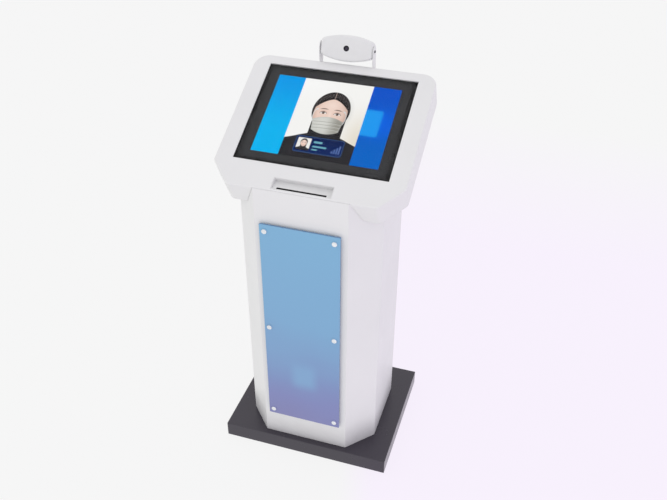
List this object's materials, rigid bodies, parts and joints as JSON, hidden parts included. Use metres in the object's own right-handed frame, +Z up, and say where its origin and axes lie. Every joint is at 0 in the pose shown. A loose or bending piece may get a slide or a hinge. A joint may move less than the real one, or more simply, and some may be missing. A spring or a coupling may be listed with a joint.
{
  "type": "ticket vending machine",
  "caption": "Free-standing ticket kiosk: dark plinth, eight-sided white pedestal with a blue front panel, sloped touch-screen head with a ticket slot, and a tilting camera above.",
  "frame": {"origin": "middle of the plinth's underside, on the floor", "axes": "+Z up, the user stands at -Y, +X to the user's right"},
  "size_m": [0.5, 0.4369, 1.1646],
  "materials": {
    "white_paint": "fine white powder coat, satin",
    "plinth_paint": "dark grey textured powder coat",
    "zinc_steel": "bright zinc plate",
    "satin_steel": "satin stainless",
    "ballast_steel": "black primer on plate",
    "sign_acrylic": "clear acrylic printed on its back with a blue fade",
    "lock_chrome": "polished",
    "cover_glass": "tempered glass with a black printed border",
    "screen_module": "lit colour screen in a steel pan",
    "rubber": "matt black",
    "white_plastic": "moulded, satin",
    "grey_plastic": "moulded, satin, a shade darker than the cabinet",
    "black_plastic": "moulded, fine spark texture",
    "nylon": "natural nylon",
    "brass": "machined",
    "aluminium": "machined",
    "black_aluminium": "black anodised casting",
    "ticket_paper": "smooth thermal paper",
    "cardboard": "wound board tube",
    "circuit_board": "green solder mask",
    "lens_glass": "coated",
    "black_steel": "black oxide"
  },
  "bodies": {
    "cabinet": {"base_mat": "rubber", "ballast_plate": "ballast_steel", "base_tray": "plinth_paint", "ballast_screws": "zinc_steel", "pedestal_bolts": "zinc_steel", "pedestal_shell": "white_paint", "head_bolts": "zinc_steel", "sign_panel": "sign_acrylic", "standoff_barrels": "satin_steel", "standoff_caps": "satin_steel", "hinge_frame_leaves": "satin_steel", "hinge_pins": "satin_steel", "head_shell": "white_paint", "head_floor": "white_paint", "head_floor_screws": "zinc_steel", "touch_glass": "cover_glass", "glass_gasket": "rubber", "display_panel": "screen_module", "display_rails": "zinc_steel", "ticket_bezel": "grey_plastic", "ticket_chute": "black_plastic", "printer_chassis": "zinc_steel", "feed_motor": "ballast_steel", "cutter_fixed_blade": "satin_steel", "cutter_motor": "black_plastic", "roll_spindle": "black_plastic", "printer_bracket": "zinc_steel", "equipment_plate": "zinc_steel", "equipment_screws": "zinc_steel", "computer_box": "black_aluminium", "power_supply": "zinc_steel", "fan_frame": "black_plastic", "fan_screws": "zinc_steel", "power_inlet": "black_plastic", "switch_housing": "black_plastic", "camera_bracket": "white_paint", "bracket_screws": "zinc_steel", "pivot_screws": "black_steel"},
    "rear_door": {"rear_door": "white_paint", "hinge_door_leaves": "satin_steel", "lock_body": "lock_chrome"},
    "lock_plug": {"lock_core": "lock_chrome", "lock_cam": "zinc_steel"},
    "paper_roll": {"paper_roll": "ticket_paper", "roll_core": "cardboard"},
    "platen": {"platen_roller": "rubber", "platen_shaft": "satin_steel", "platen_gear": "nylon"},
    "feed_pinion": {"motor_pinion": "brass"},
    "print_head": {"print_head": "aluminium", "head_lever": "black_plastic"},
    "cutter_blade": {"cutter_moving_blade": "satin_steel"},
    "fan_rotor": {"fan_rotor": "black_plastic"},
    "switch_rocker": {"switch_rocker": "black_plastic"},
    "camera": {"camera_front_shell": "white_plastic", "camera_rear_shell": "white_plastic", "camera_shell_screws": "zinc_steel", "lens_barrel": "black_plastic", "lens_glass": "lens_glass", "camera_board": "circuit_board"}
  },
  "joints": [
    {"name": "door_swing", "type": "hinge", "parent": "cabinet", "child": "rear_door", "pos_m": [0.099, 0.182, 0.46], "axis": [0, 0, -1], "range_deg": [0, 110]},
    {"name": "lock_turn", "type": "hinge", "parent": "rear_door", "child": "lock_plug", "pos_m": [-0.08, 0.17, 0.46], "axis": [0, 1, 0], "range_deg": [0, 90]},
    {"name": "roll_spin", "type": "hinge", "parent": "cabinet", "child": "paper_roll", "pos_m": [0, -0.112, 0.742], "axis": [1, 0, 0], "continuous": true},
    {"name": "platen_spin", "type": "hinge", "parent": "cabinet", "child": "platen", "pos_m": [0, -0.14316, 0.86827], "axis": [1, 0, 0], "continuous": true},
    {"name": "pinion_spin", "type": "hinge", "parent": "cabinet", "child": "feed_pinion", "pos_m": [0, -0.12475, 0.85622], "axis": [1, 0, 0], "continuous": true},
    {"name": "print_head_lift", "type": "hinge", "parent": "cabinet", "child": "print_head", "pos_m": [0, -0.14481, 0.83606], "axis": [1, 0, 0], "range_deg": [0, 12], "stiffness_Nm_per_rad": 0.5, "springref_deg": -20.05},
    {"name": "cutter_stroke", "type": "slide", "parent": "cabinet", "child": "cutter_blade", "axis": [0, -0.8926, -0.4509], "range_m": [0, 0.005]},
    {"name": "fan_spin", "type": "hinge", "parent": "cabinet", "child": "fan_rotor", "pos_m": [0, 0.163, 0.89], "axis": [0, 1, 0], "continuous": true},
    {"name": "switch_rock", "type": "hinge", "parent": "cabinet", "child": "switch_rocker", "pos_m": [0.04, 0.1755, 0.092], "axis": [0, 0, 1], "range_deg": [-12, 0]},
    {"name": "camera_tilt", "type": "hinge", "parent": "cabinet", "child": "camera", "pos_m": [0, 0.205, 1.13], "axis": [1, 0, 0], "range_deg": [-10, 35]}
  ],
  "couplings": [
    {"joint": "platen_spin", "follows": "roll_spin", "ratio": 5.7692},
    {"joint": "pinion_spin", "follows": "roll_spin", "ratio": -12.363}
  ]
}
